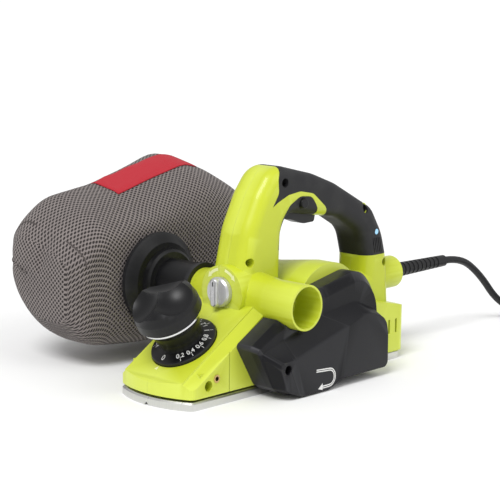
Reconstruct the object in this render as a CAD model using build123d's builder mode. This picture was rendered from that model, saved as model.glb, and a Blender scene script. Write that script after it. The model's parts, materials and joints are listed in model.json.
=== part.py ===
"""Electric hand planer, 82 mm cut, with depth knob, chip diverter, dust bag and mains lead.

Frame: +X to the rear (lead end), +Y to the dust-bag side, +Z up, millimetres.  The origin lies on
the rear sole, on the centre line, 10 mm behind the cutter axis.
"""

import os
from math import cos, pi, radians, sin, tan

from build123d import *

# ---------------------------------------------------------------- driving dimensions
BODY_HALF = 45.0                # half width of the shoes and of the body above them
SHOE_T = 7.5                    # shoe plate thickness
SHOE_CLEAR = 0.3                # air between the moving shoe and its neighbours
FRONT_X = -124.0                # front corner of the shoes
REAR_X = 157.0                  # rear corner of the shoes
BODY_Z = 9.9                    # underside of the housing over the front shoe
DRUM_X, DRUM_Z = -10.0, 24.0    # cutter axis
DRUM_R = 22.5                   # drum body
CUT_R = 24.0                    # blade tip circle, tangent to the rear sole
MOTOR_X, MOTOR_Z = 50.0, 62.0   # motor axis
BARREL_R = 39.0                 # motor housing, outside
FAN_END_R = 45.0                # motor housing beside the belt, where the fan turns
WALL = 3.0                      # housing wall
BARREL_END = 60.0               # +Y end of the motor barrel
DUCT_X, DUCT_Z = -20.0, 80.0    # axis of the chip outlet duct, along Y
DUCT_R, DUCT_BORE = 19.0, 16.0
PORT_R, PORT_BORE = 20.5, 18.5  # open port on the belt side
PORT_NEAR, PORT_FAR = -80.0, 62.0
HOSE_DEPTH = 30.0               # depth of the hose seat in the near port
TILT = 32.0                     # the depth knob leans forward by this many degrees
DIAL_X, DIAL_Z = -92.5, 49.5    # centre of the dial's top edge
DIAL_R = 30.5
HANDLE_HALF = 21.0              # half width of the column and handle
HANDLE_FILLET = 12.0
GRIP_T = 2.0                    # rubber overmould thickness
COVER_Y = -80.0                 # outer face of the belt cover
COVER_STEP_Y = -69.0            # outer face of the cover's recessed upper part
CORD_Z = 74.0                   # height of the lead where it leaves the body
CORD_D = 7.6
BOSS_X, BOSS_R = 197.0, 16.0    # end and radius of the lead's boss
BAG_Y0 = 113.0                  # near wall of the dust bag
COLLAR_R = 45.0
SELECTOR_Y, SELECTOR_Z = -3.0, 87.5   # axis of the chip diverter, along X
SCREW_R = 4.0                   # depth screw
SHAFT_R = 4.0                   # motor shaft and ends of the cutter shaft
LENS_R = 3.0                    # power light
BEARING_R, BEARING_W = 11.0, 7.0

os.makedirs("parts", exist_ok=True)


def save(piece, label):
    """Label a finished piece and write it to its own file."""
    piece.label = label
    export_step(piece, f"parts/{label}.step")


def block(x0, x1, y0, y1, z0, z1, mode=Mode.ADD):
    """Box between two corners, added to the part being built."""
    with Locations(((x0 + x1) / 2, (y0 + y1) / 2, (z0 + z1) / 2)):
        Box(x1 - x0, y1 - y0, z1 - z0, mode=mode)


def rod_y(x, z, radius, y0, y1, mode=Mode.ADD):
    """Round bar along Y."""
    with Locations(Location((x, (y0 + y1) / 2, z), (90, 0, 0))):
        Cylinder(radius, y1 - y0, mode=mode)


def rod_x(y, z, radius, x0, x1, mode=Mode.ADD):
    """Round bar along X."""
    with Locations(Location(((x0 + x1) / 2, y, z), (0, 90, 0))):
        Cylinder(radius, x1 - x0, mode=mode)


def rod_z(x, y, radius, z0, z1, mode=Mode.ADD):
    """Round bar along Z."""
    with Locations((x, y, (z0 + z1) / 2)):
        Cylinder(radius, z1 - z0, mode=mode)


def side_prism(points, radii, y0, y1, mode=Mode.ADD):
    """Prism along Y from a closed side outline with rounded corners."""
    with BuildSketch(Plane.XZ.offset(-y1)) as outline:
        with BuildLine():
            FilletPolyline(*points, radius=radii, close=True)
        make_face()
    extrude(to_extrude=outline.sketch, amount=y1 - y0, mode=mode)


def tilted(distance=0.0):
    """Plane square to the depth knob's axis, this far above the dial's top edge."""
    lean = radians(TILT)
    origin = (DIAL_X - distance * sin(lean), 0, DIAL_Z + distance * cos(lean))
    return Plane(origin=origin, x_dir=(cos(lean), 0, sin(lean)), z_dir=(-sin(lean), 0, cos(lean)))


def turned(plane, points, mode=Mode.ADD):
    """Solid of revolution about a plane's normal, from (radius, height) points."""
    axis_plane = Plane(origin=plane.origin, x_dir=plane.x_dir, z_dir=-plane.y_dir)
    with BuildSketch(axis_plane) as outline:
        with BuildLine():
            Polyline(*points, close=True)
        make_face()
    revolve(outline.sketch, axis=Axis(plane.origin, plane.z_dir), mode=mode)


# ---------------------------------------------------------------- side outlines, (x, z)
SLOPE = tan(radians(TILT))
slope_z = DIAL_Z - 3.5 - SLOPE * DIAL_X      # height of the front slope at x = 0

HANDLE_OUTER = [
    (-50, 60), (-30.5, 142), (-15, 173), (5, 198.5), (62, 185), (92, 174), (145.5, 146.5),
    (162, 121), (169.5, 95), (174, 40),
]
HANDLE_OUTER_R = [0, 60, 40, 26, 60, 60, 22, 60, 60, 0]
HAND_HOLE = [(14, 92), (15.5, 136), (24, 152), (96, 141), (127, 124), (134.5, 98), (134, 84), (16, 84)]
HAND_HOLE_R = [0, 24, 14, 40, 26, 16, 0, 0]

FRONT_BODY = [
    (FRONT_X - 12, BODY_Z), (FRONT_X - 12, slope_z + SLOPE * (FRONT_X - 12) + 3),
    (FRONT_X - 4, slope_z + SLOPE * (FRONT_X - 4)),
    (-40, slope_z - SLOPE * 40), (-30, 78), (-30, BODY_Z),
]
MID_BODY = [(-52, 12), (-73, 49.2), (-36.3, 70), (-20, 80), (20, 92), (50, 95), (92, 66), (92, 12)]
REAR_BODY = [(40, SHOE_T), (40, 60), (120, 60), (136, 57.3), (186, 46), (188, SHOE_T)]

COVER_OUTLINE = [
    (-50.4, 11.3), (-73, 49.2), (-36.3, 70), (20, 90), (74, 101), (95, 78), (95.5, 40), (95, 8),
    (29, 7.5), (12, 0.8), (-24, 0.6), (-44, 6.5),
]
COVER_OUTLINE_R = [3, 4, 30, 60, 24, 34, 60, 6, 14, 20, 26, 10]
COVER_PLATEAU = [
    (-44, 9), (-54, 35), (-34, 35.5), (38, 55.5), (66, 64), (91, 55), (94.5, 40), (94.8, 8.3),
    (29, 8), (12, 1.3), (-24, 1.1), (-38, 6),
]
COVER_PLATEAU_R = [3, 4, 14, 60, 22, 16, 40, 6, 14, 20, 26, 8]
COVER_SCREW = (-43, 28.4)
COVER_SEAT_Y = COVER_Y + 8      # where the head of the cover's screw bears


# ---------------------------------------------------------------- shoes and casting
def bowed_plan(front, half, bow, corner):
    """Plan of a shoe: straight sides, rounded corners and a bowed end."""
    end = front + bow if front > 0 else front - bow
    with BuildSketch() as plan:
        with BuildLine():
            Polyline((front, -half), (0, -half), (0, half), (front, half))
            ThreePointArc((front, -half), (end, 0), (front, half))
        make_face()
        corners = [v for v in plan.vertices() if abs(v.X - front) < 0.01]
        fillet(corners, corner)
    return plan.sketch


with BuildPart() as front_shoe:
    extrude(to_extrude=bowed_plan(FRONT_X, BODY_HALF - SHOE_CLEAR, 12, 4), amount=SHOE_T)
    top_edges = front_shoe.faces().sort_by(Axis.Z)[-1].edges().filter_by_position(
        Axis.X, -150, -30)
    chamfer(top_edges, 1.6)
    # vee groove that steadies the shoe on a corner
    with BuildSketch(Plane.YZ):
        with BuildLine():
            Polyline((-4, -1), (4, -1), (0, 3), close=True)
        make_face()
    extrude(amount=-150, mode=Mode.SUBTRACT)
    # threaded boss and two guide legs that rise along the knob's axis
    with BuildSketch(tilted(-56)):
        with Locations((0, 0)):
            Circle(9)
        with Locations((0, 24), (0, -24)):
            Rectangle(16, 8)
    extrude(amount=26)
    block(-200, 100, -60, 60, -40, 0, mode=Mode.SUBTRACT)
    with BuildSketch(tilted(-50)):
        Circle(SCREW_R + 0.05)
    extrude(amount=30, mode=Mode.SUBTRACT)
    rod_y(DRUM_X, DRUM_Z, CUT_R + 3, -50, 50, mode=Mode.SUBTRACT)
    block(DRUM_X - 4, 20, -60, 60, -1, 60, mode=Mode.SUBTRACT)
save(front_shoe.part, "front_shoe")

CHEEK = 3.2                     # cheek plates beside the cutter
CHEEK_Y = BODY_HALF - CHEEK

with BuildPart() as base_casting:
    extrude(to_extrude=bowed_plan(REAR_X, BODY_HALF, 14, 9), amount=SHOE_T)
    block(-40, 0, -60, 60, -1, SHOE_T + 1, mode=Mode.SUBTRACT)
    block(DRUM_X, 1, -BODY_HALF, BODY_HALF, 0, SHOE_T)
    rear_top = base_casting.faces().sort_by(Axis.Z)[-1].edges().filter_by_position(Axis.X, 60, 200)
    chamfer(rear_top, 1.2)
    rod_y(DRUM_X, DRUM_Z, CUT_R + 1, -CHEEK_Y, CHEEK_Y, mode=Mode.SUBTRACT)
    # cheeks carry the cutter bearings
    for side in (-1, 1):
        y_inner, y_outer = sorted((side * CHEEK_Y, side * BODY_HALF))
        block(DRUM_X - 22, DRUM_X + 40, y_inner, y_outer, BODY_Z, 46)
        block(DRUM_X + 1, DRUM_X + 40, y_inner, y_outer, 2.0, 46)
        y_boss = sorted((side * CHEEK_Y, side * (BODY_HALF + 7)))
        rod_y(DRUM_X, DRUM_Z, 15, *y_boss)
    rod_y(DRUM_X, DRUM_Z, BEARING_R, -BODY_HALF - 8, -BODY_HALF + 0.4, mode=Mode.SUBTRACT)
    rod_y(DRUM_X, DRUM_Z, BEARING_R, BODY_HALF - 0.4, BODY_HALF + 8, mode=Mode.SUBTRACT)
    rod_y(DRUM_X, DRUM_Z, 7.5, -60, 60, mode=Mode.SUBTRACT)
    # low ribs stiffen the rear shoe inside the housing
    for y in (-24, 24):
        block(40, 150, y - 2, y + 2, SHOE_T, 14)
save(base_casting.part, "base_casting")

# ---------------------------------------------------------------- housing and grips
def handle_ring(inset=0.0):
    """Column, handle and rear column as one rounded ring, shrunk by an inset."""
    half = HANDLE_HALF - inset
    with BuildPart() as ring:
        with BuildSketch(Plane.XZ.offset(-half)) as outline:
            with BuildLine():
                FilletPolyline(*HANDLE_OUTER, radius=HANDLE_OUTER_R, close=True)
            make_face()
            with BuildLine():
                FilletPolyline(*HAND_HOLE, radius=HAND_HOLE_R, close=True)
            make_face(mode=Mode.SUBTRACT)
            if inset:
                offset(amount=-inset, kind=Kind.INTERSECTION)
        extrude(to_extrude=outline.sketch, amount=2 * half)
        rims = [
            edge for edge in ring.edges()
            if abs(abs(edge.center().Y) - half) < 0.01 and edge.center().Z > 62
        ]
        fillet(rims, max(HANDLE_FILLET - inset, 6))
    return ring.part


def grip_zone():
    """Side outline of the rubber: top of the handle, thumb zone and rear handle."""
    with BuildPart() as zone:
        side_prism(
            [(24, 215), (12, 194), (6, 184), (7, 172), (-1, 160), (6, 164), (20, 169.5),
             (36, 171.5), (54, 168), (74, 152), (86, 120), (118, 99), (190, 100), (190, 215)],
            [0, 10, 10, 8, 0, 8, 12, 16, 12, 18, 0, 6, 0, 0], -30, 30)
        side_prism(
            [(8, 120), (12, 146), (22, 160), (36, 167), (52, 165.5), (62, 152), (66, 120)],
            [0, 14, 12, 12, 10, 12, 0], -30, 30)
    return zone.part


TRIGGER_PIVOT = (30, 154)
LOCK_AT = (40, 160)
LENS_AT = (148, 122)            # power light in the rear of the handle
HOUSING_SCREWS = [(-29, 113), (15, 181), (131, 146), (161, 91)]    # (x, z), heads on the -Y side
SCREW_HEAD_Y = -9.0


def housing_screw(x, z, mode=Mode.ADD):
    """Pan-head screw along Y that pulls the two housing halves together."""
    rod_y(x, z, 3.6, SCREW_HEAD_Y - 2.6, SCREW_HEAD_Y, mode=mode)
    rod_y(x, z, 1.8, SCREW_HEAD_Y, 10, mode=mode)


ring_outer = handle_ring()
ring_core = handle_ring(GRIP_T)
ring_hollow = handle_ring(GRIP_T + 2.5)
rubber_zone = grip_zone()

with BuildPart() as whole_grip:
    add(ring_outer)
    add(rubber_zone, mode=Mode.INTERSECT)
    add(ring_core, mode=Mode.SUBTRACT)
    for x, z in HOUSING_SCREWS:
        rod_y(x, z, 4.2, -30, 0, mode=Mode.SUBTRACT)
    # slot for the trigger, and the lock-off button's hole
    block(18, 76, -6.5, 6.5, 120, 158, mode=Mode.SUBTRACT)
    rod_y(*LOCK_AT, 5.0, -30, 30, mode=Mode.SUBTRACT)
    rod_y(*TRIGGER_PIVOT, 1.5, -10, 10, mode=Mode.SUBTRACT)
    rod_y(*LENS_AT, LENS_R, -30, -15, mode=Mode.SUBTRACT)
    # fine grooves along the rear of the grip
    for step in range(5):
        for side in (-1, 1):
            with Locations(Location((143.5 + 2.6 * step, side * 21.4, 109), (0, -12, 0))):
                Box(1.1, 2.0, 15, mode=Mode.SUBTRACT)

with BuildPart() as nose:
    # sloped front over the front shoe, bowed in plan and chamfered along its sides
    side_prism(FRONT_BODY, [0, 5, 8, 0, 0, 0], -BODY_HALF, BODY_HALF)
    extrude(to_extrude=bowed_plan(FRONT_X, BODY_HALF, 11, 7), amount=200, mode=Mode.INTERSECT)
    slope_start = (FRONT_X - 30, 0, slope_z + SLOPE * (FRONT_X - 30))
    across_slope = Plane(
        origin=slope_start, x_dir=(0, 1, 0), z_dir=(cos(radians(TILT)), 0, sin(radians(TILT))))
    for side in (-1, 1):
        with BuildSketch(across_slope) as corner:
            with BuildLine():
                Polyline((side * 36, -1), (side * 36, 5), (side * 50, 5), (side * 50, -12),
                         (side * 45, -8), close=True)
            make_face()
        for sign in (1, -1):
            extrude(to_extrude=corner.sketch, amount=sign * 160, mode=Mode.SUBTRACT)

with BuildPart() as rear:
    side_prism(REAR_BODY, [0, 0, 20, 40, 5, 0], -BODY_HALF, BODY_HALF)
    extrude(to_extrude=bowed_plan(160, BODY_HALF, 18, 9), amount=200, mode=Mode.INTERSECT)

with BuildPart() as rear_hollow:
    side_prism([(26, 10.5), (26, 46), (120, 54), (134, 54), (182, 44), (182, 10.5)],
               [4, 4, 10, 20, 4, 4], -41.5, 41.5)
    extrude(to_extrude=bowed_plan(156, 41.5, 18, 7), amount=200, mode=Mode.INTERSECT)

with BuildPart() as ring_hollow_limits:
    block(-200, 200, -40, 40, 104, 210)
    block(92, 200, -40, 40, 62, 107)

with BuildPart() as handle_hollow:
    add(ring_hollow)
    add(ring_hollow_limits.part, mode=Mode.INTERSECT)

VENT_X = [119.0, 129.5, 140.0, 150.5]        # air slots in the rear sides
FENCE_HOLE = (-105.4, 19.2)
INSERT_AT = (-95.7, 24.1)

with BuildPart() as body:
    add(ring_outer)
    add(rubber_zone, mode=Mode.SUBTRACT)
    add(ring_core)
    add(nose.part)
    add(rear.part)
    side_prism(MID_BODY, [0, 4, 10, 30, 40, 20, 30, 0], -BODY_HALF, BODY_HALF)
    # flange behind the belt cover
    side_prism(COVER_OUTLINE, COVER_OUTLINE_R, -BODY_HALF, -CHEEK_Y)
    # motor barrel and chip ports
    rod_y(MOTOR_X, MOTOR_Z, BARREL_R, -BODY_HALF, BARREL_END)
    rod_y(MOTOR_X, MOTOR_Z, FAN_END_R, -BODY_HALF, -25)
    with Locations(Location((MOTOR_X, -2, MOTOR_Z), (-90, 0, 0))):
        Cone(FAN_END_R, BARREL_R, 46)
    rod_y(DUCT_X, DUCT_Z, DUCT_R, PORT_NEAR + HOSE_DEPTH, PORT_FAR)
    rod_y(DUCT_X, DUCT_Z, PORT_R, PORT_NEAR, -40)
    with Locations(Location((DUCT_X, -32, DUCT_Z), (90, 0, 0))):
        Cone(DUCT_R + 5, PORT_R, 24)
    with Locations(Location((DUCT_X, 32, DUCT_Z), (-90, 0, 0))):
        Cone(DUCT_R + 5, DUCT_R, 24)
    # boss of the chip diverter, and boss of the lead
    with BuildSketch(Plane.YZ.offset(-48)) as selector_boss:
        with Locations((SELECTOR_Y, SELECTOR_Z - 1.5)):
            Circle(25)
    extrude(to_extrude=selector_boss.sketch, amount=28)
    rod_x(0, CORD_Z, BOSS_R, 160, BOSS_X)
    block(-150, 60, -60, 60, -5, BODY_Z, mode=Mode.SUBTRACT)
    block(0, 220, -60, 60, -5, SHOE_T, mode=Mode.SUBTRACT)

    # ---- hollows
    side_prism(
        [(-121, 0), (-121, 22), (-60, 60), (-52, 60), (-52, 0)], [0, 4, 6, 6, 0], -41, 41,
        mode=Mode.SUBTRACT)
    rod_y(DRUM_X, DRUM_Z, CUT_R + 4, -CHEEK_Y, CHEEK_Y, mode=Mode.SUBTRACT)
    rod_y(MOTOR_X, MOTOR_Z, BARREL_R - WALL, -CHEEK_Y, BARREL_END + 1, mode=Mode.SUBTRACT)
    add(rear_hollow.part, mode=Mode.SUBTRACT)
    add(handle_hollow.part, mode=Mode.SUBTRACT)
    rod_y(DUCT_X, DUCT_Z, PORT_BORE, PORT_NEAR - 1, PORT_NEAR + HOSE_DEPTH, mode=Mode.SUBTRACT)
    rod_y(DUCT_X, DUCT_Z, DUCT_BORE, PORT_NEAR, PORT_FAR + 1, mode=Mode.SUBTRACT)
    block(DUCT_X - 12, DUCT_X + 12, -14, 14, 44, DUCT_Z, mode=Mode.SUBTRACT)

    # ---- bosses and seats put back into the hollows
    rod_y(MOTOR_X, MOTOR_Z, 14.5, -BODY_HALF, -35)
    rod_y(MOTOR_X, MOTOR_Z, BEARING_R, -43.5, -34, mode=Mode.SUBTRACT)
    rod_y(MOTOR_X, MOTOR_Z, 6, -50, -40, mode=Mode.SUBTRACT)
    with BuildSketch(tilted(-37)) as guides:
        with Locations((0, 24), (0, -24)):
            Rectangle(24, 19)
    extrude(to_extrude=guides.sketch, amount=28.5)
    with BuildSketch(tilted(-60)) as guide_slots:
        with Locations((0, 24), (0, -24)):
            Rectangle(16.6, 8.6)
    extrude(to_extrude=guide_slots.sketch, amount=33.5, mode=Mode.SUBTRACT)
    for x, z in HOUSING_SCREWS:
        rod_y(x, z, 5.6, -16.6, 16.6)
        rod_y(x, z, 4.0, -30, SCREW_HEAD_Y, mode=Mode.SUBTRACT)
        rod_y(x, z, 1.8, SCREW_HEAD_Y, 10, mode=Mode.SUBTRACT)

    # ---- openings
    add(base_casting.part, mode=Mode.SUBTRACT)
    add(whole_grip.part, mode=Mode.SUBTRACT)
    rod_y(DRUM_X, DRUM_Z, 15, -60, -41, mode=Mode.SUBTRACT)
    rod_y(DRUM_X, DRUM_Z, 15, 41, 60, mode=Mode.SUBTRACT)
    rod_x(SELECTOR_Y, SELECTOR_Z, 3.05, -60, 2, mode=Mode.SUBTRACT)
    with BuildSketch(tilted(-30)) as screw_way:
        Circle(6)
    extrude(to_extrude=screw_way.sketch, amount=40, mode=Mode.SUBTRACT)
    with BuildSketch(tilted(-5.6)) as dial_pocket:
        Circle(DIAL_R + 0.6)
    extrude(to_extrude=dial_pocket.sketch, amount=20, mode=Mode.SUBTRACT)
    block(18, 76, -6.5, 6.5, 120, 158, mode=Mode.SUBTRACT)
    rod_y(*TRIGGER_PIVOT, 1.5, -10, 10, mode=Mode.SUBTRACT)
    rod_y(*LOCK_AT, 5.0, -30, 30, mode=Mode.SUBTRACT)
    for x in VENT_X:
        for y in (-BODY_HALF, BODY_HALF):
            block(x - 1.3, x + 1.3, y - 4, y + 4, 26, 39.5, mode=Mode.SUBTRACT)
    for side in (-1, 1):
        seam = sorted((side * (BODY_HALF - 0.6), side * 50))
        block(-80.4, -79.6, *seam, 9, 46, mode=Mode.SUBTRACT)
        hole = sorted((side * (BODY_HALF - 14), side * 50))
        # solid pads behind the fence hole and the insert
        pad = sorted((side * (BODY_HALF - 16), side * (BODY_HALF - 3)))
        block(-113, -88, *pad, 12, 30)
        rod_y(*FENCE_HOLE, 4.5, *hole, mode=Mode.SUBTRACT)
        rod_y(*INSERT_AT, 3.5, *hole, mode=Mode.SUBTRACT)
    rod_x(0, CORD_Z, 7.0, 180, BOSS_X + 1, mode=Mode.SUBTRACT)
    rod_x(0, CORD_Z, 9.2, 164, 180, mode=Mode.SUBTRACT)
    rod_y(*COVER_SCREW, 2.0, -46, -34, mode=Mode.SUBTRACT)
    rod_y(*LENS_AT, LENS_R, -30, -15, mode=Mode.SUBTRACT)

for name, whole in (("housing", body), ("grip", whole_grip)):
    left = whole.part & Pos(0, -150, 0) * Box(700, 300, 700)
    right = whole.part & Pos(0, 150, 0) * Box(700, 300, 700)
    save(left, f"{name}_left")
    save(right, f"{name}_right")

with BuildPart() as motor_cap:
    rod_y(MOTOR_X, MOTOR_Z, BARREL_R, BARREL_END, BARREL_END + 5)
    chamfer(motor_cap.faces().sort_by(Axis.Y)[-1].edges(), 2)
    rod_y(MOTOR_X, MOTOR_Z, 14.5, 48, BARREL_END)
    rod_y(MOTOR_X, MOTOR_Z, BEARING_R, 47, 56, mode=Mode.SUBTRACT)
    for step in range(-3, 4):
        half = 26 - 1.4 * abs(step) ** 1.5
        slot_z = MOTOR_Z + 7.5 * step
        for x0, x1 in ((MOTOR_X - half, MOTOR_X - 13), (MOTOR_X + 13, MOTOR_X + half)):
            block(x0, x1, 59, 70, slot_z - 1.5, slot_z + 1.5, mode=Mode.SUBTRACT)
    for angle in (90, 210, 330):
        spot_x = MOTOR_X + 33 * cos(radians(angle))
        rod_y(spot_x, MOTOR_Z + 33 * sin(radians(angle)), 1.7, 55, 70, mode=Mode.SUBTRACT)
save(motor_cap.part, "motor_vent_cap")

with BuildPart() as cap_screws:
    for angle in (90, 210, 330):
        x = MOTOR_X + 33 * cos(radians(angle))
        z = MOTOR_Z + 33 * sin(radians(angle))
        rod_y(x, z, 3.4, BARREL_END + 5, BARREL_END + 7)
        rod_y(x, z, 1.7, BARREL_END - 5, BARREL_END + 5)
save(cap_screws.part, "motor_cap_screws")

with BuildPart() as housing_screws:
    for x, z in HOUSING_SCREWS:
        housing_screw(x, z)
save(housing_screws.part, "housing_screws")

with BuildPart() as inserts:
    for side in (-1, 1):
        rod_y(*INSERT_AT, 3.5, *sorted((side * (BODY_HALF - 12), side * (BODY_HALF + 0.4))))
    rod_y(*INSERT_AT, 2.0, -60, 60, mode=Mode.SUBTRACT)
save(inserts.part, "guide_inserts")

# ---------------------------------------------------------------- belt cover
COVER_TOP = [
    (-50.4, 11.3), (-71, 47.5), (-36, 63.5), (20, 83), (70, 93.5), (88.5, 75), (93, 40), (95, 8),
    (29, 7.5), (12, 0.8), (-24, 0.6), (-44, 6.5),
]
COVER_STEP = [
    (-50, 11), (-66, 44), (-38, 53), (17, 68.5), (60, 73.5), (92, 60), (92.5, 42), (94.9, 8.2),
    (29, 7.8), (12, 1), (-24, 0.8), (-42, 6.2),
]


def cover_outline(points, radii, y, inset=0.0):
    """Side outline of the belt cover at one depth, optionally shrunk."""
    with BuildSketch(Plane.XZ.offset(-y)) as outline:
        with BuildLine():
            if inset:
                Polyline(*points, close=True)
            else:
                FilletPolyline(*points, radius=radii, close=True)
        make_face()
        if inset:
            offset(amount=-inset, kind=Kind.INTERSECTION)
    return outline.sketch


with BuildPart() as belt_cover:
    extrude(to_extrude=cover_outline(COVER_OUTLINE, COVER_OUTLINE_R, -BODY_HALF), amount=16)
    loft([cover_outline(COVER_OUTLINE, COVER_OUTLINE_R, -BODY_HALF - 16).face(),
          cover_outline(COVER_TOP, COVER_OUTLINE_R, COVER_STEP_Y).face()], ruled=True)
    loft([cover_outline(COVER_STEP, COVER_PLATEAU_R, COVER_STEP_Y).face(),
          cover_outline(COVER_PLATEAU, COVER_PLATEAU_R, COVER_Y).face()], ruled=True)
    extrude(to_extrude=cover_outline(COVER_OUTLINE, COVER_OUTLINE_R, -BODY_HALF, 3), amount=15,
            mode=Mode.SUBTRACT)
    extrude(to_extrude=cover_outline(COVER_TOP, COVER_OUTLINE_R, -BODY_HALF - 15, 3), amount=6.5,
            mode=Mode.SUBTRACT)
    extrude(to_extrude=cover_outline(COVER_PLATEAU, COVER_PLATEAU_R, -64, 3), amount=13,
            mode=Mode.SUBTRACT)
    rod_y(*COVER_SCREW, 6, COVER_Y + 2, -BODY_HALF)
    rod_y(*COVER_SCREW, 2, COVER_Y - 1, -40, mode=Mode.SUBTRACT)
    rod_y(*COVER_SCREW, 4.2, COVER_Y - 1, COVER_SEAT_Y, mode=Mode.SUBTRACT)
    rod_y(DUCT_X, DUCT_Z, PORT_R + 0.4, -90, -40, mode=Mode.SUBTRACT)
save(belt_cover.part, "belt_cover")

with BuildPart() as cover_screw:
    rod_y(*COVER_SCREW, 3.6, COVER_SEAT_Y - 2.6, COVER_SEAT_Y)
    rod_y(*COVER_SCREW, 2, COVER_SEAT_Y, -36)
save(cover_screw.part, "belt_cover_screw")

# ---------------------------------------------------------------- cutter
BLADE_T, CLAMP_T = 1.2, 5.0
SLOT_FLOOR = 13.5               # radius of the blade slots' floor


def around_drum(x0, x1, y0, y1, r0, r1, mode=Mode.ADD):
    """One box on each side of the cutter axis, turned half a turn from each other."""
    for side in (1, -1):
        xs = sorted((DRUM_X + side * x0, DRUM_X + side * x1))
        zs = sorted((DRUM_Z + side * r0, DRUM_Z + side * r1))
        block(*xs, y0, y1, *zs, mode=mode)


with BuildPart() as drum:
    rod_y(DRUM_X, DRUM_Z, DRUM_R, -40, 40)
    around_drum(0, BLADE_T + CLAMP_T, -41, 41, SLOT_FLOOR, 26, mode=Mode.SUBTRACT)
    rod_y(DRUM_X, DRUM_Z, SHAFT_R + 2, -60, 60, mode=Mode.SUBTRACT)
    for y in (-26, 0, 26):
        for side in (1, -1):
            x = DRUM_X + side * (BLADE_T + CLAMP_T / 2)
            z = sorted((DRUM_Z + side * 6.5, DRUM_Z + side * 14))
            rod_z(x, y, 1.5, *z, mode=Mode.SUBTRACT)
save(drum.part, "cutter_drum")

with BuildPart() as drum_shaft:
    rod_y(DRUM_X, DRUM_Z, SHAFT_R + 2, -42.5, 42.5)
    rod_y(DRUM_X, DRUM_Z, SHAFT_R, -65.5, 51.6)
    for y in (-26, 0, 26):
        for side in (1, -1):
            x = DRUM_X + side * (BLADE_T + CLAMP_T / 2)
            z = sorted((DRUM_Z + side * 5, DRUM_Z + side * 14))
            rod_z(x, y, 1.5, *z, mode=Mode.SUBTRACT)
save(drum_shaft.part, "drum_shaft")

with BuildPart() as blades:
    around_drum(0, BLADE_T, -41, 41, SLOT_FLOOR, CUT_R - 0.03)
save(blades.part, "planer_blades")

with BuildPart() as clamps:
    around_drum(BLADE_T, BLADE_T + CLAMP_T, -40, 40, SLOT_FLOOR, 21.2)
    for y in (-26, 0, 26):
        for side in (1, -1):
            x = DRUM_X + side * (BLADE_T + CLAMP_T / 2)
            rod_z(x, y, 1.5, DRUM_Z - 24, DRUM_Z + 24, mode=Mode.SUBTRACT)
save(clamps.part, "blade_clamps")

with BuildPart() as clamp_screws:
    for y in (-26, 0, 26):
        for side in (1, -1):
            x = DRUM_X + side * (BLADE_T + CLAMP_T / 2)
            rod_z(x, y, 1.5, *sorted((DRUM_Z + side * 6.8, DRUM_Z + side * 21.2)))
save(clamp_screws.part, "clamp_screws")

with BuildPart() as drum_bearings:
    for side in (-1, 1):
        rod_y(DRUM_X, DRUM_Z, BEARING_R, *sorted((side * 44.6, side * (44.6 + BEARING_W))))
    rod_y(DRUM_X, DRUM_Z, SHAFT_R + 0.02, -80, 80, mode=Mode.SUBTRACT)
save(drum_bearings.part, "drum_bearings")

with BuildPart() as bearing_cap:
    rod_y(DRUM_X, DRUM_Z, 15, BODY_HALF + 7, BODY_HALF + 9)
save(bearing_cap.part, "bearing_cap")

# ---------------------------------------------------------------- belt drive
BELT_Y0, BELT_Y1 = -62.5, -55.5
BELT_T = 2.2
DRUM_GROOVE, MOTOR_GROOVE = 16.2, 9.9      # radii under the belt


def pulley(x, z, groove, shaft):
    """Flanged pulley on the belt's line."""
    rod_y(x, z, groove, BELT_Y0 - 1.5, BELT_Y1 + 1.5)
    for y in (BELT_Y0 - 1.5, BELT_Y1 + 0.5):
        rod_y(x, z, groove + 2.8, y, y + 1)
    rod_y(x, z, shaft, -90, -40, mode=Mode.SUBTRACT)


with BuildPart() as drum_pulley:
    pulley(DRUM_X, DRUM_Z, DRUM_GROOVE, SHAFT_R)
save(drum_pulley.part, "drum_pulley")

with BuildPart() as motor_pulley:
    pulley(MOTOR_X, MOTOR_Z, MOTOR_GROOVE, SHAFT_R)
save(motor_pulley.part, "motor_pulley")


def belt_loop(grow):
    """Outline around both pulleys at a distance from their grooves."""
    with BuildSketch(Plane.XZ.offset(-BELT_Y0)) as loop:
        with Locations((DRUM_X, DRUM_Z)):
            Circle(DRUM_GROOVE + grow)
        with Locations((MOTOR_X, MOTOR_Z)):
            Circle(MOTOR_GROOVE + grow)
        make_hull()
    return loop.sketch


with BuildPart() as drive_belt:
    extrude(to_extrude=belt_loop(0.35 + BELT_T), amount=BELT_Y0 - BELT_Y1)
    extrude(to_extrude=belt_loop(0.35), amount=BELT_Y0 - BELT_Y1, mode=Mode.SUBTRACT)
save(drive_belt.part, "drive_belt")

# ---------------------------------------------------------------- motor
with BuildPart() as armature_shaft:
    rod_y(MOTOR_X, MOTOR_Z, SHAFT_R, -65.5, 55)
save(armature_shaft.part, "armature_shaft")

with BuildPart() as rotor_core:
    rod_y(MOTOR_X, MOTOR_Z, 17.5, -18, 16)
    rod_y(MOTOR_X, MOTOR_Z, SHAFT_R, -60, 60, mode=Mode.SUBTRACT)
    for step in range(12):
        angle = radians(30 * step)
        rod_y(MOTOR_X + 17 * cos(angle), MOTOR_Z + 17 * sin(angle), 1.4, -60, 60,
              mode=Mode.SUBTRACT)
save(rotor_core.part, "rotor_core")

with BuildPart() as commutator:
    rod_y(MOTOR_X, MOTOR_Z, 10, 22, 38)
    rod_y(MOTOR_X, MOTOR_Z, SHAFT_R, 0, 60, mode=Mode.SUBTRACT)
save(commutator.part, "commutator")

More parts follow.
